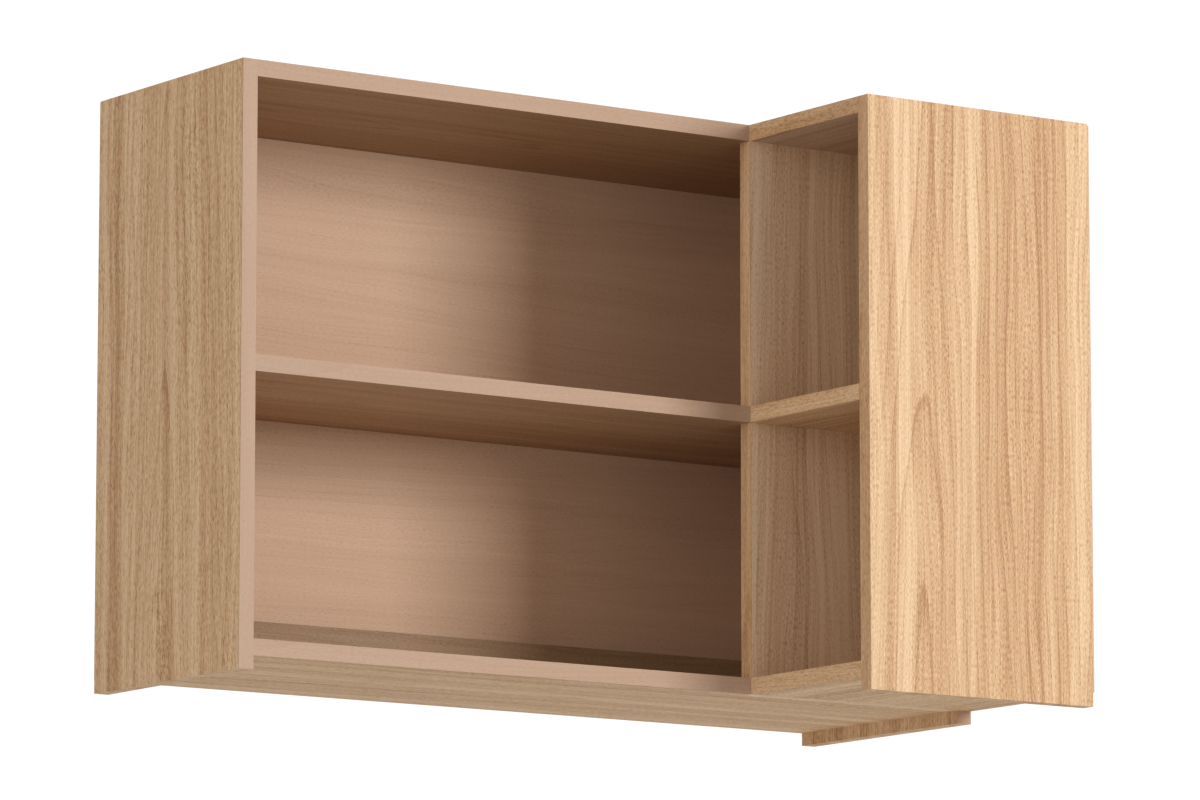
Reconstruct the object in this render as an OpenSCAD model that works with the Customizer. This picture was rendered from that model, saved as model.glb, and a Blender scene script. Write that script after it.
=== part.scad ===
// Open L-shaped corner wall cabinet. A long unit hangs on one wall, and a short unit stands in
// front of its blind end, backs onto the adjoining wall and opens to the left.
// Millimetres. +X right, +Y towards the wall behind the long unit, +Z up.
// Origin: centre of the rear face of the long unit, where the back panel meets the wall.

/* [Overall] */
// Width of the long unit along its wall
long_w = 965; // [800:1:1400]
// Depth of the long unit's boards, without the back panel
long_d = 295; // [250:1:400]
// Height of the side panels and of the end panel
cabinet_h = 650; // [520:1:900]
// How far the short unit stands out from the front of the long unit
wing_l = 219; // [180:1:450]
// Width of the short unit's boards, from its opening to its back panel
wing_w = 304; // [240:1:400]

/* [Boards] */
// Thickness of the laminated boards
board_t = 18; // [15:0.5:22]
// Thickness of the two back panels
back_t = 3; // [2.5:0.1:6]
// Thickness of the edge bands
band_t = 1; // [0.4:0.1:2]
// How far the side panels hang below the underside of the bottom panels
side_hang = 14.5; // [0:0.5:40]
// How far the back panels stop short of the outer edges
back_inset = 1.5; // [0:0.5:4]
// How far the short back panel laps onto the right side panel
back_lap = 16; // [8:1:40]

/* [Shelves] */
// Clear height of the lower compartments
lower_bay_h = 283.5; // [150:0.5:400]
// Gap at each end of the loose shelf
shelf_gap = 0.5; // [0.3:0.1:2]
// Radius of a shelf pin
pin_r = 2.5; // [2:0.1:4]
// Length of a shelf pin inside the upright
pin_in = 10; // [6:0.5:12]
// Length of a shelf pin that stands out of the upright
pin_out = 8; // [5:0.5:12]
// Distance of the front pins from the opening
pin_front = 35; // [25:1:50]
// Distance of the rear pins from the short back panel
pin_rear = 40; // [20:1:60]
// Clearance around a pin in the shelf's groove
groove_gap = 0.2; // [0.1:0.05:0.6]

/* [Wall rail] */
// Height of the rail at the bottom of the back
rail_h = 58; // [40:1:120]
// Distance between the two wall screw holes
rail_hole_spacing = 640; // [400:10:700]
// Radius of the wall screw holes
rail_hole_r = 2.75; // [2:0.05:4]

/* [Dowels, cams, screws and nails] */
// Radius of a wooden dowel
dowel_r = 4; // [3:0.5:5]
// Dowel length inside the upright board
dowel_in = 11; // [8:0.5:12]
// Dowel length inside the other board
dowel_out = 19; // [15:1:25]
// Clearance around dowels, bolts, pins, screws and nails in their holes
fit_gap = 0.05; // [0.02:0.01:0.1]
// Radius of a cam housing
cam_r = 7.5; // [6:0.5:9]
// Height of a cam housing
cam_h = 12.5; // [10:0.5:13]
// Distance of a cam's centre from the joint
cam_reach = 24; // [20:1:34]
// Radius of a cam bolt's thread and head
bolt_r = 3.5; // [3:0.1:4]
// Radius of a cam bolt's shank
shank_r = 2.8; // [2:0.1:2.8]
// Thickness of a cam cover cap
cap_t = 1.2; // [0.8:0.1:2]
// Distance of the outer dowels from the board edges
dowel_edge = 50; // [40:1:60]
// Distance of the cams from the board edges
cam_edge = 84; // [78:1:100]
// Length of the screws that hold the blind panel
blind_screw_l = 50; // [40:1:60]
// Radius of the screws that hold the blind panel
blind_screw_r = 3.5; // [2.5:0.1:3.5]
// Head radius of the screws that hold the blind panel
blind_head_r = 5; // [4.5:0.1:6]
// Head height of the screws that hold the blind panel
blind_head_h = 3; // [2:0.5:4]
// Greatest distance between two back nails
nail_step = 165; // [100:5:250]
// Radius of a back nail
nail_r = 0.8; // [0.6:0.1:1.2]
// Board left beyond the tip of a back nail
nail_tip_gap = 1; // [0.5:0.5:5]
// Head radius of a back nail
nail_head_r = 2; // [1.5:0.1:2.5]
// Head height of a back nail
nail_head_h = 0.8; // [0.5:0.1:1.2]

/* [Hangers] */
// Width of a hanger housing, away from the side panel
hanger_w = 24; // [24:0.5:30]
// Length of a hanger housing, front to back
hanger_l = 44; // [44:0.5:60]
// Height of a hanger housing
hanger_h = 60; // [56:0.5:80]
// Wall of a hanger housing
hanger_wall = 2; // [1.5:0.1:2.5]
// Gap between a hanger housing and the top panel
hanger_drop = 6; // [5:0.5:12]
// Gap between a hanger housing and the back panel
hanger_back_gap = 11; // [10:0.5:20]
// Sliding clearance inside a hanger
slide_gap = 0.3; // [0.2:0.05:0.5]
// Travel of a hanger's height adjustment, up and down
height_travel = 6; // [3:0.5:6]
// Travel of a hanger's hook towards the wall
hook_travel_out = 5; // [2:0.5:5]
// Travel of a hanger's hook away from the wall
hook_travel_in = 4; // [2:0.5:4]
// Gap between a hanger's hook and the wall
hook_gap = 6; // [6:0.5:9]
// Thickness of the steel hook
hook_t = 3; // [2.5:0.1:3]
// Height of the hook's arm
hook_h = 12; // [10:0.5:14]
// How far the hook's claw reaches below its arm
claw_drop = 12; // [8:0.5:14]
// Radius of the adjusting screws
adjust_r = 2.5; // [2:0.1:2.5]
// Head radius of the adjusting screws
adjust_head_r = 4; // [3.5:0.1:4]
// Wall of a hanger's cover cap
cover_wall = 1.2; // [0.8:0.1:2]
// Gap between a hanger and its cover cap
cover_gap = 0.8; // [0.5:0.1:1.5]
// Width of the opening in the back panel at a hanger
window_w = 40; // [35:1:60]
// Height of the opening in the back panel at a hanger
window_h = 72; // [66:1:100]

/* [Hidden] */
$fn = 48;

laminate = [0.84, 0.67, 0.48];
band_colour = [0.80, 0.66, 0.54];
back_colour = [0.74, 0.57, 0.40];
beech = [0.86, 0.74, 0.56];
steel = [0.72, 0.73, 0.75];
zinc = [0.62, 0.63, 0.65];
plastic = [0.88, 0.86, 0.82];

eps = 0.1; // cuts run this far past a face
hole_spare = 0.5; // blind holes end this far past what they hold
x_left = -long_w / 2;
x_right = long_w / 2;
x_open = x_right - wing_w; // plane of the short unit's opening
y_rear = -back_t; // rear edges of the long unit's boards
y_front = y_rear - long_d; // front plane of the long unit
y_end = y_front - wing_l; // front face of the end panel
z_low = -cabinet_h / 2; // lower ends of the side panels
z_high = cabinet_h / 2;
z_under = z_low + side_hang; // underside of the bottom panels
z_shelf = z_under + board_t + lower_bay_h; // underside of both shelves
z_top = z_high - board_t; // underside of the top panels
decks = [z_under, z_shelf, z_top];
short_decks = [z_under, z_top];
hole_run = dowel_in + hole_spare; // depth of a dowel hole in an upright
nail_l = back_t + board_t - nail_tip_gap; // a nail holds a back panel to a board's thickness

// Points at equal steps of at most step from a to b
function spread(a, b, step) = let (n = ceil((b - a) / step)) [for (i = [0:n]) a + (b - a) * i / n];

// A joint is [point on the joint's plane, direction into the upright]. Its axis lies drop below the
// deck's upper face: half the deck's thickness for dowels, and what the cam's height gives for cams.
dowel_drop = board_t / 2;
cam_drop = cam_h - bolt_r;
function end_joints(edge, drop) = [for (z = decks, side = [-1, 1],
    y = [y_front + edge, y_rear - edge])
    [[side * (x_right - board_t), y, z + board_t - drop], [side, 0, 0]]];
function blind_joints(xs, drop) = [for (z = decks, x = xs)
    [[x, y_front + board_t, z + board_t - drop], [0, -1, 0]]];
function wing_joints(edge, drop) = [for (z = short_decks, x = [x_open + edge, x_right - edge],
    front = [0, 1])
    [[x, front == 1 ? y_end + board_t : y_front, z + board_t - drop], [0, front == 1 ? -1 : 1, 0]]];

blind_dowel_edge = 60; // outer dowels of the blind panel, from its long edges
rail_dowel_edge = 15; // dowels of the wall rail, from its long edges
wing_dowel_edge = 40; // dowels of the short unit's decks, from the opening and the rear edge
wing_cam_edge = 90; // cams of the short unit's decks, from the opening and the rear edge

blind_dowel_x = [x_open + blind_dowel_edge, x_right - board_t - blind_dowel_edge];
blind_cam_x = [(x_open + x_right - board_t) / 2];
rail_joints = [for (side = [-1, 1], z = [rail_dowel_edge, rail_h - rail_dowel_edge])
    [[side * (x_right - board_t), y_rear - board_t / 2, z_under + board_t + z], [side, 0, 0]]];
deck_dowels = concat(end_joints(dowel_edge, dowel_drop), blind_joints(blind_dowel_x, dowel_drop));
deck_cams = concat(end_joints(cam_edge, cam_drop), blind_joints(blind_cam_x, cam_drop));
wing_dowels = wing_joints(wing_dowel_edge, dowel_drop);
wing_cams = wing_joints(wing_cam_edge, cam_drop);

// Joints of one list whose height lies in a deck that starts at z
function at_level(list, z) = [for (j = list) if (j[0].z > z && j[0].z < z + board_t) j];
// Joints of one list that point along d
function towards(list, d) = [for (j = list) if (j[1] == d) j];

pin_points = [for (x = [x_open + pin_front, x_right - pin_rear], front = [0, 1])
    [[x, front == 1 ? y_end + board_t : y_front, z_shelf + board_t / 2], [0, front == 1 ? -1 : 1, 0]]];

blind_screw_edge = 104; // outer screws of the blind panel, from the underside and the top panel
blind_screw_drop = 78; // middle screw of the blind panel, below the shelf
blind_screw_z = [z_under + blind_screw_edge, z_shelf - blind_screw_drop, z_top - blind_screw_edge];

rail_hole_z = z_under + board_t + rail_h / 2;
rail_hole_points = [for (side = [-1, 1]) [side * rail_hole_spacing / 2, rail_hole_z]];

// Nails of the long back as [x, z]. Those in the side panels pass the dowels of the wall rail.
nail_edge = board_t / 2;
nail_above_rail = 12; // lowest nail above the wall rail
long_nail_in = 90; // outer nails in the long decks, from the sides
short_nail_in = 75; // outer nails in the short decks, from the end panel and the blind panel
upright_nail_in = 40; // outer nails in the short unit's uprights, from their ends
side_nail_z = concat([z_under + nail_edge],
    spread(z_under + board_t + rail_h + nail_above_rail, z_high - nail_edge, nail_step));
long_nails = concat(
    [for (x = [x_left + nail_edge, x_right - nail_edge], z = side_nail_z) [x, z]],
    [for (z = [z_under + nail_edge, z_shelf + nail_edge, z_high - nail_edge],
        x = spread(x_left + long_nail_in, x_right - long_nail_in, nail_step)) [x, z]]);
// Nails of the short back as [y, z]
short_nails = concat(
    [for (y = [y_end + nail_edge, y_front + back_lap / 2],
        z = spread(z_under + upright_nail_in, z_high - upright_nail_in, nail_step)) [y, z]],
    [for (z = [z_under + nail_edge, z_high - nail_edge],
        y = spread(y_end + short_nail_in, y_front - short_nail_in, nail_step)) [y, z]]);

// Hanger places in the hanger's own frame: x from the side panel, y from the wall, z from the top panel
h_rear = -(back_t + hanger_back_gap);
h_front = h_rear - hanger_l;
h_high = -hanger_drop;
h_low = h_high - hanger_h;
h_mid = (h_high + h_low) / 2;
carriage_front_in = 16; // carriage from the front of its housing
carriage_rear_in = 6; // carriage from the rear of its housing
carriage_h = 18;
tab_in = 5; // front tab of the hook from the front of the housing
height_x = 6.4; // axis of the height screw from the side panel
depth_in = 6.2; // axis of the depth screw from the far side of the housing
carriage_front = h_front + carriage_front_in;
carriage_rear = h_rear - carriage_rear_in;
tab_front = h_front + tab_in;
arm_x = hanger_w / 2 - hook_t / 2;
height_y = (carriage_front + carriage_rear) / 2;
depth_x = hanger_w - depth_in;
claw_rear = -hook_gap;
adjust_head_h = 3;
collar_h = 1.2; // collar that keeps an adjusting screw in its plate
neck = 0.5; // an adjusting screw's shank runs this far into its head
screw_end_gap = 4; // height screw below the top of its housing
screw_proud = 2; // depth screw past the carriage
play = 0.2; // end play of an adjusting screw's head and collar
running_gap = 0.08; // radial clearance of an adjusting screw in its bore
recess = [4.8, 1, 1.6]; // length, width and depth of a cross recess
fixing_r = 2;
fixing_head_r = 3.5;
fixing_head_h = 2.2;
fixing_l = 16;
fixing_edge = 8; // fixing screws from the edges of a hanger housing
fixing_points = [for (y = [h_front + fixing_edge, h_rear - fixing_edge],
    z = [h_low + fixing_edge, h_high - fixing_edge]) [y, z]];

bolt_head_l = 3.6; // head of a cam bolt, inside its cam
bolt_slack = 0.3; // room around a cam bolt inside its cam
cam_slot = [6.4, 1.2, 1.6]; // length, width and depth of a cam's cross slot
cap_lap = 1; // cam caps reach this far over the edge of a cam
groove_spare = 0.8; // the shelf's grooves run this far past the pins
cover_reach = adjust_head_r + 0.4; // radius of the openings in a hanger's cover

// ---------- helpers ----------

module block(low, high) {
    translate(low) cube(high - low);
}

// Turns +Z to the direction d and moves to p
module aim(p, d) {
    translate(p) rotate([0, acos(d.z), atan2(d.y, d.x)]) children();
}

// A cylinder from a to b along the local Z axis
module rod(r, a, b) {
    translate([0, 0, a]) cylinder(h = b - a, r = r);
}

module dowel_holes(list) {
    for (j = list) aim(j[0], j[1])
        rod(dowel_r + fit_gap, -dowel_out - hole_spare, hole_run);
}

// Bore for a cam housing from the deck's upper face, with the bolt's run to the upright
module cam_holes(list) {
    for (j = list) {
        aim(j[0], j[1]) rod(bolt_r + fit_gap, -cam_reach, hole_run);
        translate(j[0] - j[1] * cam_reach)
            rod(cam_r + fit_gap, cam_drop - cam_h - fit_gap, cam_drop + eps);
    }
}

module cam_bolt(j) {
    aim(j[0], j[1]) {
        rod(bolt_r, 0, dowel_in);
        rod(shank_r, -cam_reach, eps);
        rod(bolt_r, -cam_reach - bolt_head_l / 2, -cam_reach + bolt_head_l / 2);
    }
}

module cam_housing(j) {
    difference() {
        translate(j[0] - j[1] * cam_reach) difference() {
            rod(cam_r, cam_drop - cam_h, cam_drop);
            for (turn = [45, 135]) rotate([0, 0, turn])
                translate([-cam_slot.x / 2, -cam_slot.y / 2, cam_drop - cam_slot.z])
                    cube([cam_slot.x, cam_slot.y, cam_slot.z + eps]);
        }
        aim(j[0], j[1]) rod(bolt_r + bolt_slack, -cam_reach - bolt_head_l / 2 - bolt_slack, 0);
    }
}

module pin_holes(list) {
    for (j = list) aim(j[0], j[1]) rod(pin_r + fit_gap, -eps, pin_in + hole_spare);
}

module nail(gap) {
    rod(nail_r + gap, -nail_l - gap, 0);
    rod(nail_head_r + gap, -nail_head_h - gap, gap > 0 ? eps : 0);
}

// Nails lie along +Y, with their heads at the wall
module long_nail_set(list, gap) {
    for (n = list) translate([n.x, 0, n.y]) rotate([-90, 0, 0]) nail(gap);
}

module short_nail_set(list, gap) {
    for (n = list) translate([x_right + back_t, n.x, n.y]) rotate([0, 90, 0]) nail(gap);
}

module rail_holes() {
    for (p = rail_hole_points) translate([p.x, -board_t - back_t - eps, p.y])
        rotate([-90, 0, 0]) cylinder(h = board_t + back_t + 2 * eps, r = rail_hole_r);
}

module blind_screw(z, gap) {
    translate([x_right, y_front + board_t / 2, z]) rotate([0, 90, 0]) {
        rod(blind_screw_r + gap, -blind_screw_l - gap, 0);
        rod(blind_head_r + gap, -blind_head_h - gap, gap > 0 ? eps : 0);
    }
}

module place_hanger(left) {
    translate([left ? x_left + board_t : x_right - board_t, 0, z_top])
        mirror([left ? 0 : 1, 0, 0]) children();
}

module fixing_holes() {
    for (p = fixing_points) translate([0, p.x, p.y]) rotate([0, -90, 0])
        rod(fixing_r + fit_gap, -eps, fixing_l - hanger_wall + hole_spare);
}

// ---------- long unit ----------

module side_panel(left) {
    inner = left ? x_left + board_t : x_right - board_t;
    outer = left ? x_left : x_right;
    d = [left ? -1 : 1, 0, 0];
    difference() {
        block([min(inner, outer), y_front + band_t, z_low], [max(inner, outer), y_rear, z_high]);
        dowel_holes(concat(towards(deck_dowels, d), towards(rail_joints, d)));
        cam_holes(towards(deck_cams, d));
        place_hanger(left) fixing_holes();
        long_nail_set([for (n = long_nails) if ((n.x < 0) == left && abs(n.x) > x_right - board_t) n],
            fit_gap);
        if (!left) for (z = blind_screw_z) blind_screw(z, fit_gap);
        if (!left) short_nail_set([for (n = short_nails) if (n.x > y_front) n], fit_gap);
    }
}

module left_side_panel() color(laminate) side_panel(true);
module right_side_panel() color(laminate) side_panel(false);

// A full-depth deck with its front edge stepped back behind the blind panel
module long_deck(z) {
    difference() {
        block([x_left + board_t, y_front + band_t, z], [x_right - board_t, y_rear, z + board_t]);
        block([x_open, y_front - eps, z - eps],
            [x_right, y_front + board_t, z + board_t + eps]);
        dowel_holes(at_level(deck_dowels, z));
        cam_holes(at_level(deck_cams, z));
        long_nail_set([for (n = long_nails) if (n.y > z && n.y < z + board_t
            && abs(n.x) < x_right - board_t) n], fit_gap);
    }
}

module long_top_panel() color(laminate) long_deck(z_top);
module long_bottom_panel() color(laminate) long_deck(z_under);
module long_shelf() color(laminate) long_deck(z_shelf);

module long_back_panel() color(back_colour) difference() {
    block([x_left + back_inset, y_rear, z_under + back_inset],
        [x_right - back_inset, 0, z_high - back_inset]);
    for (left = [true, false]) place_hanger(left)
        translate([0, y_rear - eps, -window_h]) cube([window_w, back_t + 2 * eps, window_h]);
    long_nail_set(long_nails, fit_gap);
    rail_holes();
}

module lower_wall_rail() color(laminate) difference() {
    block([x_left + board_t, y_rear - board_t, z_under + board_t],
        [x_right - board_t, y_rear, z_under + board_t + rail_h]);
    dowel_holes(rail_joints);
    rail_holes();
}

module blind_panel() color(laminate) difference() {
    block([x_open + band_t, y_front, z_under], [x_right - board_t, y_front + board_t, z_high]);
    dowel_holes(concat(towards(deck_dowels, [0, -1, 0]), towards(wing_dowels, [0, 1, 0])));
    cam_holes(concat(towards(deck_cams, [0, -1, 0]), towards(wing_cams, [0, 1, 0])));
    pin_holes(towards(pin_points, [0, 1, 0]));
    for (z = blind_screw_z) blind_screw(z, fit_gap);
}

// ---------- short unit ----------

module end_panel() color(laminate) difference() {
    block([x_open + band_t, y_end, z_low], [x_right, y_end + board_t, z_high]);
    dowel_holes(towards(wing_dowels, [0, -1, 0]));
    cam_holes(towards(wing_cams, [0, -1, 0]));
    pin_holes(towards(pin_points, [0, -1, 0]));
    short_nail_set([for (n = short_nails) if (n.x < y_end + board_t) n], fit_gap);
}

module short_deck(z) {
    difference() {
        block([x_open + band_t, y_end + board_t, z], [x_right, y_front, z + board_t]);
        dowel_holes(at_level(wing_dowels, z));
        cam_holes(at_level(wing_cams, z));
        short_nail_set([for (n = short_nails) if (n.y > z && n.y < z + board_t
            && n.x > y_end + board_t && n.x < y_front) n], fit_gap);
    }
}

module short_top_panel() color(laminate) short_deck(z_top);
module short_bottom_panel() color(laminate) short_deck(z_under);

// Loose shelf with a groove in each end, open at the rear, that slides onto the pins
module short_shelf() color(laminate) {
    shelf_y = [y_end + board_t + shelf_gap, y_front - shelf_gap];
    groove_h = 2 * (pin_r + groove_gap);
    groove_d = pin_out - shelf_gap + groove_spare;
    difference() {
        block([x_open + band_t, shelf_y[0], z_shelf], [x_right - shelf_gap, shelf_y[1], z_shelf + board_t]);
        for (y = [shelf_y[0], shelf_y[1] - groove_d])
            translate([x_open + pin_front - pin_r - groove_gap, y - eps,
                z_shelf + (board_t - groove_h) / 2])
                cube([wing_w, groove_d + 2 * eps, groove_h]);
    }
}

module short_back_panel() color(back_colour) difference() {
    block([x_right, y_end + back_inset, z_under + back_inset],
        [x_right + back_t, y_front + back_lap, z_high - back_inset]);
    short_nail_set(short_nails, fit_gap);
}

// ---------- edge bands ----------

module front_band(x0, x1, z0, z1) {
    color(band_colour) block([x0, y_front, z0], [x1, y_front + band_t, z1]);
}

module opening_band(y0, y1, z0, z1) {
    color(band_colour) block([x_open, y0, z0], [x_open + band_t, y1, z1]);
}

module deck_front_band(z) {
    front_band(x_left + board_t, x_open, z, z + board_t);
}

module left_side_band() front_band(x_left, x_left + board_t, z_low, z_high);
module right_side_band() front_band(x_right - board_t, x_right, z_low, z_high);
module long_top_band() deck_front_band(z_top);
module long_bottom_band() deck_front_band(z_under);
module long_shelf_band() deck_front_band(z_shelf);
module blind_panel_band() opening_band(y_front, y_front + board_t, z_under, z_high);
module end_panel_band() opening_band(y_end, y_end + board_t, z_low, z_high);
module short_top_band() opening_band(y_end + board_t, y_front, z_top, z_top + board_t);
module short_bottom_band() opening_band(y_end + board_t, y_front, z_under, z_under + board_t);
module short_shelf_band() opening_band(y_end + board_t + shelf_gap, y_front - shelf_gap,
    z_shelf, z_shelf + board_t);

// ---------- dowels, cams, screws, nails and pins ----------

module long_dowels() color(beech)
    for (j = concat(deck_dowels, rail_joints)) aim(j[0], j[1]) rod(dowel_r, -dowel_out, dowel_in);
module short_dowels() color(beech)
    for (j = wing_dowels) aim(j[0], j[1]) rod(dowel_r, -dowel_out, dowel_in);
module long_cams() color(zinc) for (j = deck_cams) cam_housing(j);
module short_cams() color(zinc) for (j = wing_cams) cam_housing(j);
module long_cam_bolts() color(steel) for (j = deck_cams) cam_bolt(j);
module short_cam_bolts() color(steel) for (j = wing_cams) cam_bolt(j);

// Caps cover the cams that are seen inside the compartments
module cam_caps() color(laminate)
    for (j = concat(at_level(deck_cams, z_under), at_level(deck_cams, z_shelf),
        at_level(wing_cams, z_under)))
        translate(j[0] - j[1] * cam_reach) rod(cam_r + cap_lap, cam_drop, cam_drop + cap_t);

module blind_panel_screws() color(steel) for (z = blind_screw_z) blind_screw(z, 0);
module long_back_nails() color(steel) long_nail_set(long_nails, 0);
module short_back_nails() color(steel) short_nail_set(short_nails, 0);
module shelf_pins() color(steel)
    for (j = pin_points) aim(j[0], j[1]) rod(pin_r, -pin_out, pin_in);

// ---------- hangers ----------

// Open-ended steel channel, screwed to the side panel
module hanger_housing(left) color(zinc) place_hanger(left) difference() {
    block([0, h_front, h_low], [hanger_w, h_rear, h_high]);
    block([hanger_wall, h_front - eps, h_low + hanger_wall],
        [hanger_w - hanger_wall, h_rear + eps, h_high - hanger_wall]);
    for (p = fixing_points) translate([0, p.x, p.y]) rotate([0, 90, 0])
        rod(fixing_r + fit_gap, -eps, hanger_wall + eps);
    translate([height_x, height_y, h_low]) rod(adjust_r + running_gap, -eps, hanger_wall + eps);
}

// Cover that clips over the housing, with openings for the two adjusting screws
module hanger_cover(left) color(plastic) place_hanger(left) {
    inner_x = hanger_w + cover_gap;
    inner_y = tab_front - hook_travel_in - adjust_head_h - play - cover_gap;
    inner_z = h_low - adjust_head_h - play - cover_gap;
    difference() {
        block([0, inner_y - cover_wall, inner_z - cover_wall],
            [inner_x + cover_wall, h_rear, h_high + cover_gap + cover_wall]);
        block([-eps, inner_y, inner_z], [inner_x, h_rear + eps, h_high + cover_gap]);
        block([depth_x - cover_reach, inner_y - cover_wall - eps, h_mid - height_travel - cover_reach],
            [depth_x + cover_reach, inner_y + eps, h_mid + height_travel + cover_reach]);
        translate([height_x, height_y, inner_z]) rod(cover_reach, -cover_wall - eps, eps);
    }
}

// Block that the height screw moves up and down, with a slot for the hook's arm
module hanger_carriage(left) color(steel) place_hanger(left) difference() {
    block([hanger_wall + slide_gap, carriage_front, h_mid - carriage_h / 2],
        [hanger_w - hanger_wall - slide_gap, carriage_rear, h_mid + carriage_h / 2]);
    block([arm_x - slide_gap, carriage_front - eps, h_mid - hook_h / 2 - slide_gap],
        [arm_x + hook_t + slide_gap, carriage_rear + eps, h_mid + carriage_h]);
    translate([height_x, height_y, h_mid]) rod(adjust_r + running_gap, -carriage_h, carriage_h);
    translate([depth_x, 0, h_mid]) rotate([90, 0, 0])
        rod(adjust_r + running_gap, -carriage_rear - eps, -carriage_front + eps);
}

// Hook with a claw at the wall and a tab at the front that holds the depth screw
module hanger_hook(left) color(steel) place_hanger(left) difference() {
    union() {
        block([arm_x, tab_front, h_mid - hook_h / 2], [arm_x + hook_t, claw_rear, h_mid + hook_h / 2]);
        block([arm_x, claw_rear - hook_t, h_mid - hook_h / 2 - claw_drop],
            [arm_x + hook_t, claw_rear, h_mid + hook_h / 2]);
        block([arm_x, tab_front, h_mid - hook_h / 2],
            [hanger_w - hanger_wall - slide_gap, tab_front + hook_t, h_mid + hook_h / 2]);
    }
    translate([depth_x, 0, h_mid]) rotate([90, 0, 0])
        rod(adjust_r + running_gap, -tab_front - hook_t - eps, -tab_front + eps);
}

// Cross recess in a screw head whose top face is at z = 0 and faces up
module cross_recess() {
    for (turn = [0, 90]) rotate([0, 0, turn]) translate([-recess.x / 2, -recess.y / 2, -recess.z])
        cube([recess.x, recess.y, recess.z + eps]);
}

// Screw along +Z with its head above z = 0, held at a plate of thickness t by its collar
module adjusting_screw(t, length) {
    difference() {
        union() {
            rod(adjust_r, -length, play + neck);
            rod(adjust_head_r, play, play + adjust_head_h);
            rod(adjust_head_r, -t - play - collar_h, -t - play);
        }
        translate([0, 0, play + adjust_head_h]) cross_recess();
    }
}

module height_screw(left) color(zinc) place_hanger(left)
    translate([height_x, height_y, h_low]) rotate([180, 0, 0])
        adjusting_screw(hanger_wall, hanger_h - hanger_wall - screw_end_gap);

module depth_screw(left) color(zinc) place_hanger(left)
    translate([depth_x, tab_front, h_mid]) rotate([90, 0, 0])
        adjusting_screw(hook_t, carriage_rear - tab_front + screw_proud);

module left_hanger_housing() hanger_housing(true);
module left_hanger_cover() hanger_cover(true);
module left_hanger_carriage() hanger_carriage(true);
module left_hanger_hook() hanger_hook(true);
module left_height_screw() height_screw(true);
module left_depth_screw() depth_screw(true);
module right_hanger_housing() hanger_housing(false);
module right_hanger_cover() hanger_cover(false);
module right_hanger_carriage() hanger_carriage(false);
module right_hanger_hook() hanger_hook(false);
module right_height_screw() height_screw(false);
module right_depth_screw() depth_screw(false);

module hanger_fixing_screws() color(steel)
    for (left = [true, false], p = fixing_points) place_hanger(left)
        translate([hanger_wall, p.x, p.y]) rotate([0, -90, 0]) {
            rod(fixing_r, 0, fixing_l);
            rod(fixing_head_r, -fixing_head_h, 0);
        }

// ---------- drawing ----------

left_side_panel();
right_side_panel();
long_top_panel();
long_bottom_panel();
long_shelf();
long_back_panel();
lower_wall_rail();
blind_panel();
end_panel();
short_top_panel();
short_bottom_panel();
short_shelf();
short_back_panel();
left_side_band();
right_side_band();
long_top_band();
long_bottom_band();
long_shelf_band();
blind_panel_band();
end_panel_band();
short_top_band();
short_bottom_band();
short_shelf_band();
long_dowels();
short_dowels();
long_cams();
short_cams();
long_cam_bolts();
short_cam_bolts();
cam_caps();
blind_panel_screws();
long_back_nails();
short_back_nails();
shelf_pins();
left_hanger_housing();
left_hanger_cover();
left_hanger_carriage();
left_hanger_hook();
left_height_screw();
left_depth_screw();
right_hanger_housing();
right_hanger_cover();
right_hanger_carriage();
right_hanger_hook();
right_height_screw();
right_depth_screw();
hanger_fixing_screws();
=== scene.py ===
"""Looks of an open L-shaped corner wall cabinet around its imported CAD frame.

Metres, +Z up, with the origin at the wall, in the middle of the long unit's back.
"""

import math

import bpy
from mathutils import Euler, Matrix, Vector


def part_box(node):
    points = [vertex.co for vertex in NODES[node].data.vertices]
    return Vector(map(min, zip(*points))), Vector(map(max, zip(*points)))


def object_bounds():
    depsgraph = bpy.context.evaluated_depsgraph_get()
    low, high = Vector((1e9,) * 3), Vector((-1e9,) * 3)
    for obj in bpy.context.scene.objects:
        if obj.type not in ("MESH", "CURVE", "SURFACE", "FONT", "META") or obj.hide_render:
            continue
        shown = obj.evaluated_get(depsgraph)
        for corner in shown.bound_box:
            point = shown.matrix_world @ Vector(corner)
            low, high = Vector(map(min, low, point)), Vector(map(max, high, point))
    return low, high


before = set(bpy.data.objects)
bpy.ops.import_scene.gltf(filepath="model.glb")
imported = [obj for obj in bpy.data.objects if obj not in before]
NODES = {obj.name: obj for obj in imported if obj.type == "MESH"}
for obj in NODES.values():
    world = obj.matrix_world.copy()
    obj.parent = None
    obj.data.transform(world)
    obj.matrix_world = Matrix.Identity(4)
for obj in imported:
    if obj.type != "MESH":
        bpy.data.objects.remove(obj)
CAD_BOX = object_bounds()

# ---------- node graphs ----------


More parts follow.
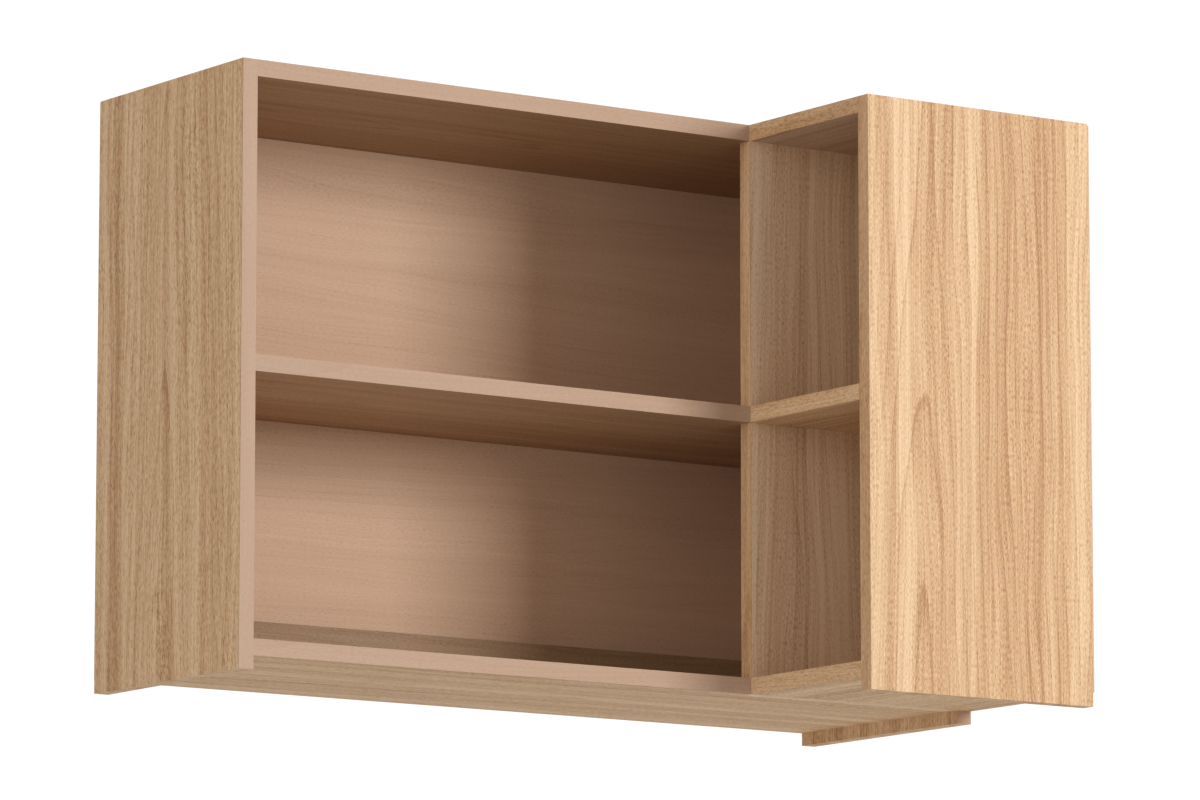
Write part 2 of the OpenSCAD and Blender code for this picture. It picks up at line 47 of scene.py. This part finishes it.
class Graph:
    """A material's node tree, with short calls that add linked nodes."""

    def __init__(self, name):
        self.material = bpy.data.materials.new(name)
        self.material.use_nodes = True
        self.tree = self.material.node_tree
        self.tree.nodes.clear()

    def node(self, kind, inputs=None, **settings):
        made = self.tree.nodes.new(kind)
        for key, value in settings.items():
            setattr(made, key, value)
        for key, value in (inputs or {}).items():
            if isinstance(value, bpy.types.NodeSocket):
                self.tree.links.new(value, made.inputs[key])
            else:
                made.inputs[key].default_value = value
        return made

    def math(self, operation, a, b=0.0, c=0.0, clamp=False):
        made = self.node("ShaderNodeMath", {0: a, 1: b, 2: c}, operation=operation, use_clamp=clamp)
        return made.outputs[0]

    def scaled(self, vector, scale):
        made = self.node("ShaderNodeVectorMath", {0: vector, 1: scale}, operation="MULTIPLY")
        return made.outputs[0]

    def place(self):
        """Where a point is in the object, in metres."""
        return self.node("ShaderNodeTexCoord").outputs["Object"]

    def split(self, vector):
        return self.node("ShaderNodeSeparateXYZ", {0: vector}).outputs

    def noise(self, vector, scale, detail=2.0, roughness=0.5):
        """Noise from 0 to 1 round 0.5, with scale as its cells a metre along each axis."""
        made = self.node(
            "ShaderNodeTexNoise",
            {"Vector": self.scaled(vector, scale), "Scale": 1.0, "Detail": detail, "Roughness": roughness},
        )
        return made.outputs["Fac"]

    def ramp(self, factor, stops):
        """Colours, or single values as one-number tuples, between positions from 0 to 1."""
        made = self.node("ShaderNodeValToRGB", {"Fac": factor})
        elements = made.color_ramp.elements
        while len(elements) < len(stops):
            elements.new(1.0)
        for element, (position, colour) in zip(elements, stops):
            element.position = position
            element.color = (*colour, 1.0) if len(colour) == 3 else (colour[0],) * 3 + (1.0,)
        return made.outputs["Color"]

    def mix(self, factor, a, b, blend="MIX"):
        made = self.node("ShaderNodeMix", data_type="RGBA", blend_type=blend)
        # sockets of the node's colour mode: 0 is the factor, 6 and 7 are the colours
        for index, value in ((0, factor), (6, a), (7, b)):
            if isinstance(value, bpy.types.NodeSocket):
                self.tree.links.new(value, made.inputs[index])
            elif index:
                made.inputs[index].default_value = (*value, 1.0)
            else:
                made.inputs[index].default_value = value
        return made.outputs[2]

    def bump(self, height, distance, strength):
        made = self.node("ShaderNodeBump", {"Height": height, "Distance": distance, "Strength": strength})
        return made.outputs["Normal"]

    def finish(self, **inputs):
        """Ends the tree in a Principled shader whose sockets are named with _ for each space."""
        named = {key.replace("_", " "): value for key, value in inputs.items()}
        shader = self.node("ShaderNodeBsdfPrincipled", named)
        self.node("ShaderNodeOutputMaterial", {"Surface": shader.outputs[0]})
        return self.material


def linear(*display):
    """A colour given in display values from 0 to 255, as the shaders need it: the sRGB curve undone."""
    return tuple(c / 255 / 12.92 if c <= 10 else ((c / 255 + 0.055) / 1.055) ** 2.4 for c in display)


# ---------- wood ----------

# Display colours of each wood tone, from its darkest pore to its lightest streak
TONES = {
    "laminate": (linear(170, 122, 81), linear(209, 168, 125), linear(234, 201, 161)),
    "edge": (linear(160, 120, 93), linear(182, 148, 122), linear(197, 167, 142)),
    # The rail tone is the laminate at about half its brightness, for the lower wall rail: painted shade
    # along the band above the bottom panel
    "rail": (linear(112, 78, 50), linear(152, 120, 88), linear(176, 148, 116)),
    "back": (linear(170, 128, 97), linear(209, 172, 142), linear(227, 194, 164)),
    # The corner tone is the laminate made lighter and less orange, for the blind panel: painted light on a
    # panel that sits deep in the corner
    "corner": (linear(186, 145, 106), linear(222, 186, 148), linear(243, 214, 178)),
}
AXES = {"x": 0, "y": 1, "z": 2}

RING_GAP = 0.0135  # distance between growth rings
PITH_DEPTH = 0.028  # how far behind the face the rings are centred
TREE_TAPER = 0.045  # how fast the rings climb along the grain, which draws the arches
RING_LINE = [(0.0, (0.0,)), (0.5, (0.04,)), (0.86, (0.35,)), (0.94, (1.0,)), (0.985, (0.0,))]
LINE_SHOWS = [(0.36, (0.2,)), (0.58, (1.0,))]  # from faint to full, over the presence noise

# How fine each layer of the grain is, in cells a metre: across the board, into it and along it
SWAY = (3.0, 3.0, 0.9)
DRIFT = (11.0, 11.0, 1.7)
PRESENCE = (20.0, 20.0, 1.3)
BANDS = (42.0, 42.0, 0.5)
STREAKS = (300.0, 300.0, 1.1)
THREADS = (620.0, 620.0, 9.0)
FIBRES = (1000.0, 1000.0, 210.0)
PIT_EDGE = [(0.30, (1.0,)), (0.47, (0.0,))]  # the fibre noise is a pit where it is low

# How far in metres, from the noise's lowest value to its highest
SWAY_REACH = 0.06  # the pith wanders
DRIFT_REACH = 0.05  # a ring wobbles
BEND_REACH = 0.06  # the finer layers bend with the rings

# How much each layer adds to the tone, which runs from 0, the darkest, to 1, the lightest
GROUND = 0.66
BAND_TONE, STREAK_TONE, THREAD_TONE, LINE_TONE = 1.15, 0.8, 0.75, -0.42
FIBRE_TONE, PIT_TONE = 1.15, -0.16

WOOD_ROUGHNESS, FIBRE_GLOSS = 0.62, -0.16
WOOD_SPECULAR = 0.35
STREAK_HEIGHT = 0.5  # height of the streaks in the bump, as a share of the fibres' height
WOOD_RELIEF, RELIEF_STRENGTH = 0.00022, 0.35

# Factors on the faces that look down inside the bays, which bring them nearer to how dark the photo
# shows them. They stand for shade, not for a darker board.
UNDERSIDES = {
    "long_top_panel": (0.46, 0.41, 0.37),
    "long_shelf": (0.60, 0.57, 0.57),
    "short_top_panel": (0.76, 0.80, 0.95),
}
FACES_DOWN = -0.5  # a face looks down where its normal's height is below this


def wood(name, grain, face, tone="laminate", offset=(0.0, 0.0, 0.0), figure=1.0, pores=1.0, pith=0.0,
         underside=None):
    """Flat-sawn wood print.

    The grain runs along one axis, and face is the axis across the board's thickness. The arches stand at
    pith on the third axis. figure and pores are the strengths of the coarse and the fine layers, and
    underside is the factor on faces that look down.
    """
    g = Graph(name)
    place = g.place()
    moved = g.split(g.node("ShaderNodeMapping", {"Vector": place, "Location": offset}).outputs[0])
    width_axis = 3 - AXES[grain] - AXES[face]
    along, depth, across = moved[AXES[grain]], moved[AXES[face]], moved[width_axis]
    board = g.node("ShaderNodeCombineXYZ", {0: across, 1: depth, 2: along}).outputs[0]

    # growth rings round a pith behind the face: straight lines at the sides, arches in the middle
    sway = g.noise(board, SWAY, detail=1.0)
    drift = g.noise(board, DRIFT, roughness=0.45)
    from_pith = g.math("SUBTRACT", g.split(place)[width_axis], pith)
    centre = g.math("MULTIPLY_ADD", g.math("SUBTRACT", sway, 0.5), SWAY_REACH, from_pith)
    squared = g.math("MULTIPLY_ADD", centre, centre, PITH_DEPTH * PITH_DEPTH)
    radius = g.math("MULTIPLY_ADD", along, TREE_TAPER, g.math("SQRT", squared))
    radius = g.math("MULTIPLY_ADD", drift, DRIFT_REACH, radius)
    line = g.ramp(g.math("FRACT", g.math("DIVIDE", radius, RING_GAP)), RING_LINE)
    lines = g.math("MULTIPLY", line, g.ramp(g.noise(board, PRESENCE, detail=1.0), LINE_SHOWS))

    # the same drift bends every finer layer, so that streaks and pores follow the rings
    bend = g.math("MULTIPLY_ADD", drift, BEND_REACH, across)
    follow = g.node("ShaderNodeCombineXYZ", {0: bend, 1: depth, 2: along}).outputs[0]
    bands = g.noise(follow, BANDS, detail=1.0)
    streaks = g.noise(follow, STREAKS, roughness=0.55)
    threads = g.noise(follow, THREADS, detail=1.0)
    fibres = g.noise(follow, FIBRES, detail=1.0)
    pits = g.ramp(fibres, PIT_EDGE)

    value = GROUND
    for layer, amount in ((bands, BAND_TONE), (streaks, STREAK_TONE), (threads, THREAD_TONE)):
        value = g.math("MULTIPLY_ADD", g.math("SUBTRACT", layer, 0.5), amount * figure, value)
    value = g.math("MULTIPLY_ADD", lines, LINE_TONE * figure, value)
    value = g.math("MULTIPLY_ADD", g.math("SUBTRACT", fibres, 0.5), FIBRE_TONE * pores, value)
    value = g.math("MULTIPLY_ADD", pits, PIT_TONE * pores, value, clamp=True)
    dark, mid, light = TONES[tone]
    colour = g.ramp(value, [(0.0, dark), (0.5, mid), (1.0, light)])
    if underside:
        normal = g.node("ShaderNodeTexCoord").outputs["Normal"]
        facing_down = g.math("LESS_THAN", g.split(normal)[2], FACES_DOWN)
        colour = g.mix(facing_down, colour, g.mix(1.0, colour, underside, "MULTIPLY"))
    relief = g.math("ADD", g.math("MULTIPLY", streaks, STREAK_HEIGHT), fibres)
    return g.finish(
        Base_Color=colour,
        Roughness=g.math("MULTIPLY_ADD", fibres, FIBRE_GLOSS, WOOD_ROUGHNESS),
        Specular_IOR_Level=WOOD_SPECULAR,
        Normal=g.bump(relief, WOOD_RELIEF, RELIEF_STRENGTH * pores),
    )


# Each board's grain axis, face axis, tone, figure and pores
BOARDS = {
    "left_side_panel": ("z", "x", "laminate", 1.0, 1.0),
    "right_side_panel": ("z", "x", "laminate", 1.0, 1.0),
    "end_panel": ("z", "y", "laminate", 1.0, 1.0),
    # the blind panel takes the lighter corner tone: painted light
    "blind_panel": ("z", "y", "corner", 1.0, 1.0),
    "long_top_panel": ("x", "z", "laminate", 0.8, 0.8),
    "long_bottom_panel": ("x", "z", "laminate", 0.9, 0.9),
    "long_shelf": ("x", "z", "laminate", 0.9, 0.9),
    # the lower wall rail takes the dark rail tone: painted shade
    "lower_wall_rail": ("x", "y", "rail", 0.5, 0.5),
    "short_top_panel": ("y", "z", "laminate", 1.0, 1.0),
    "short_bottom_panel": ("y", "z", "laminate", 1.0, 1.0),
    "short_shelf": ("y", "z", "laminate", 1.0, 1.0),
    "long_back_panel": ("x", "y", "back", 0.32, 0.5),
    "short_back_panel": ("z", "x", "back", 0.7, 0.55),
    "left_side_band": ("z", "y", "edge", 0.3, 0.35),
    "right_side_band": ("z", "y", "edge", 0.3, 0.35),
    "long_top_band": ("x", "y", "edge", 0.3, 0.35),
    "long_bottom_band": ("x", "y", "edge", 0.3, 0.35),
    "long_shelf_band": ("x", "y", "edge", 0.3, 0.35),
    "blind_panel_band": ("z", "x", "laminate", 0.7, 0.8),
    "end_panel_band": ("z", "x", "laminate", 0.7, 0.8),
    "short_top_band": ("y", "x", "laminate", 0.8, 0.8),
    "short_bottom_band": ("y", "x", "laminate", 0.8, 0.8),
    "short_shelf_band": ("y", "x", "laminate", 0.8, 0.8),
}

# Where across a board its arches stand, as a share of its width; the middle unless it is named here
PITHS = {"end_panel": 0.27, "left_side_panel": 0.52, "right_side_panel": 0.35, "blind_panel": 0.12}
GRAIN_STEP = (0.173, 0.291, 0.437)  # metres that each board's noise is shifted from the last one's

# ---------- metal and plastic ----------

METAL_CLOUD, METAL_SHADE = 60.0, 0.82  # cells a metre, and how dark a cloud's low side is
PLASTIC_CLOUD, PLASTIC_SHADE = 25.0, 0.93
CLOUD_EDGES = (0.3, 0.7)  # noise values between which the tint turns from shaded to full
METAL_MOTTLE, METAL_DIP = 0.25, 0.1  # how much the roughness varies, and from how far below its stated value
PLASTIC_MOTTLE, PLASTIC_DIP = 0.12, 0.06
METAL_RELIEF, PLASTIC_RELIEF = (0.00005, 0.4), (0.00006, 0.5)  # depth and strength of the bump


def clouded(g, place, scale, colour, shade):
    """The colour, darkened by shade in soft clouds."""
    low_edge, high_edge = CLOUD_EDGES
    shaded = tuple(shade * c for c in colour)
    return g.ramp(g.noise(place, (scale,) * 3), [(low_edge, shaded), (high_edge, colour)])


def metal(name, colour, roughness, grit=900.0, brushed=(1.0, 1.0, 1.0)):
    """Plated or cast metal with a fine mottle in its gloss.

    grit is the mottle's cells a metre, and brushed stretches it along an axis whose number is small.
    """
    g = Graph(name)
    place = g.place()
    mottle = g.noise(place, tuple(grit * b for b in brushed), detail=3.0)
    tint = clouded(g, place, METAL_CLOUD, colour, METAL_SHADE)
    gloss = g.math("MULTIPLY_ADD", mottle, METAL_MOTTLE, roughness - METAL_DIP)
    return g.finish(Base_Color=tint, Metallic=1.0, Roughness=gloss, Normal=g.bump(mottle, *METAL_RELIEF))


def plastic(name, colour, roughness, grain=1400.0):
    """Moulded plastic with a fine spark-eroded texture of grain cells a metre."""
    g = Graph(name)
    place = g.place()
    skin = g.noise(place, (grain,) * 3)
    tint = clouded(g, place, PLASTIC_CLOUD, colour, PLASTIC_SHADE)
    gloss = g.math("MULTIPLY_ADD", skin, PLASTIC_MOTTLE, roughness - PLASTIC_DIP)
    return g.finish(Base_Color=tint, Roughness=gloss, Normal=g.bump(skin, *PLASTIC_RELIEF))


BEECH = wood("beech_dowel_wood", "x", "z", offset=(0.1, 0.2, 0.3), figure=0.5)
ZINC = metal("zinc_cast", (0.42, 0.42, 0.44), 0.5)
STEEL = metal("zinc_plated_steel", (0.62, 0.63, 0.66), 0.32)
HOUSING_STEEL = metal("galvanised_sheet", (0.55, 0.56, 0.58), 0.42, 500.0, (1.0, 1.0, 0.08))
CAP = plastic("cap_plastic", linear(206, 166, 124), 0.5)
COVER = plastic("cover_plastic", linear(226, 222, 214), 0.45)

HARDWARE = {
    "long_dowels": BEECH, "short_dowels": BEECH,
    "long_cams": ZINC, "short_cams": ZINC,
    "cam_caps": CAP,
    "hanger_fixing_screws": STEEL, "blind_panel_screws": STEEL,
    "long_cam_bolts": STEEL, "short_cam_bolts": STEEL,
    "long_back_nails": STEEL, "short_back_nails": STEEL, "shelf_pins": STEEL,
}
for side in ("left", "right"):
    HARDWARE[f"{side}_hanger_cover"] = COVER
    HARDWARE[f"{side}_hanger_housing"] = HOUSING_STEEL
    HARDWARE[f"{side}_hanger_carriage"] = STEEL
    HARDWARE[f"{side}_hanger_hook"] = HOUSING_STEEL
    HARDWARE[f"{side}_height_screw"] = STEEL
    HARDWARE[f"{side}_depth_screw"] = STEEL

# ---------- materials onto the CAD nodes ----------


def paint(node, material):
    """Gives a CAD node one material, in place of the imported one."""
    slots = NODES[node].data.materials
    slots.clear()
    slots.append(material)


for index, (node, (grain, face, tone, figure, pores)) in enumerate(BOARDS.items()):
    offset = tuple(step * index for step in GRAIN_STEP)
    near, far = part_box(node)
    width_axis = 3 - AXES[grain] - AXES[face]
    pith = near[width_axis] + PITHS.get(node, 0.5) * (far[width_axis] - near[width_axis])
    paint(node, wood(f"{node}_wood", grain, face, tone, offset, figure, pores, pith, UNDERSIDES.get(node)))

for node, material in HARDWARE.items():
    paint(node, material)

# ---------- stage ----------

FLOOR_DROP = 1.40  # the cabinet's lowest point hangs this far above the floor
FLOOR_SIZE = 40.0
FLOOR_GLOW = 0.5  # seen by the camera only, so that the floor is pale away from the lights
FLOOR_SPECK = 9.0  # cells a metre
FLOOR_TONES = [(0.3, (0.80, 0.80, 0.79)), (0.7, (0.83, 0.83, 0.82))]
FILL_COLOUR, FILL_STRENGTH = (1.0, 0.99, 0.97, 1.0), 0.39
BACKDROP_COLOUR, BACKDROP_STRENGTH = (1.0, 1.0, 1.0, 1.0), 1.05  # what the camera sees of the world


def floor_paint():
    """Pale matt paint that glows for the camera only, and is see-through from below."""
    g = Graph("floor_paint")
    speck = g.noise(g.place(), (FLOOR_SPECK,) * 3, detail=3.0)
    colour = g.ramp(speck, FLOOR_TONES)
    painted = g.node("ShaderNodeBsdfDiffuse", {"Color": colour}).outputs[0]
    glow = g.math("MULTIPLY", g.node("ShaderNodeLightPath").outputs["Is Camera Ray"], FLOOR_GLOW)
    pale = g.node("ShaderNodeEmission", {"Color": colour, "Strength": glow}).outputs[0]
    top = g.node("ShaderNodeAddShader", {0: painted, 1: pale}).outputs[0]
    under = g.node("ShaderNodeBsdfTransparent").outputs[0]
    facing = g.node("ShaderNodeNewGeometry").outputs["Backfacing"]
    both = g.node("ShaderNodeMixShader", {0: facing, 1: top, 2: under}).outputs[0]
    g.node("ShaderNodeOutputMaterial", {"Surface": both})
    return g.material


bpy.ops.mesh.primitive_plane_add(size=FLOOR_SIZE, location=(0.0, 0.0, CAD_BOX[0].z - FLOOR_DROP))
floor = bpy.context.object
floor.name = "floor"
floor.data.materials.append(floor_paint())

world = bpy.data.worlds.new("studio")
bpy.context.scene.world = world
world.use_nodes = True
tree = world.node_tree
tree.nodes.clear()
choice = tree.nodes.new("ShaderNodeMixShader")
seen = tree.nodes.new("ShaderNodeLightPath")
tree.links.new(seen.outputs["Is Camera Ray"], choice.inputs[0])
for socket, colour, strength in (
    (1, FILL_COLOUR, FILL_STRENGTH),
    (2, BACKDROP_COLOUR, BACKDROP_STRENGTH),
):
    background = tree.nodes.new("ShaderNodeBackground")
    background.inputs["Color"].default_value = colour
    background.inputs["Strength"].default_value = strength
    tree.links.new(background.outputs[0], choice.inputs[socket])
tree.links.new(choice.outputs[0], tree.nodes.new("ShaderNodeOutputWorld").inputs["Surface"])

# ---------- lights and camera ----------

LIGHT_DISTANCE = 4.5
LIGHT_AIM = Vector((0.0, -0.2, 0.0))
WHITE, ROSE = (1.0, 1.0, 1.0), (1.0, 0.94, 0.93)
WIDE = 2.6  # side of a fill light

# Each light's azimuth and elevation in degrees, size, power in watts and colour. Azimuth 0 is in front
# of the cabinet and 90 at its right.
LIGHTS = {
    "key": (20, 9, 1.4, 110, WHITE),
    "front_fill": (-50, 0, WIDE, 22, WHITE),
    "side_fill": (-70, 20, WIDE, 26, ROSE),
    "rear_fill": (150, 42, WIDE, 55, WHITE),
}

for name, (azimuth, elevation, size, power, colour) in LIGHTS.items():
    a, e = math.radians(azimuth), math.radians(elevation)
    away = Vector((math.sin(a) * math.cos(e), -math.cos(a) * math.cos(e), math.sin(e)))
    data = bpy.data.lights.new(name, "AREA")
    data.shape, data.size, data.energy, data.color = "SQUARE", size, power, colour
    lamp = bpy.data.objects.new(name, data)
    lamp.location = LIGHT_AIM + away * LIGHT_DISTANCE
    lamp.rotation_euler = away.to_track_quat("Z", "Y").to_euler()
    bpy.context.scene.collection.objects.link(lamp)

CAMERA_PLACE = (-4.3753, -6.5727, -1.1775)
CAMERA_YAW, CAMERA_PITCH = 34.7437, 8.7541  # degrees right of +Y, and above the horizon
CAMERA_LENS, CAMERA_SENSOR = 213.135, 36.0  # millimetres
CAMERA_FAR = 100.0

camera = bpy.data.objects.new("camera", bpy.data.cameras.new("camera"))
bpy.context.scene.collection.objects.link(camera)
camera.location = CAMERA_PLACE
camera.rotation_euler = Euler((math.radians(90 + CAMERA_PITCH), 0.0, math.radians(-CAMERA_YAW)))
camera.data.lens = CAMERA_LENS
camera.data.sensor_width = CAMERA_SENSOR
camera.data.clip_end = CAMERA_FAR
bpy.context.scene.camera = camera
bpy.context.scene.view_settings.view_transform = "Standard"
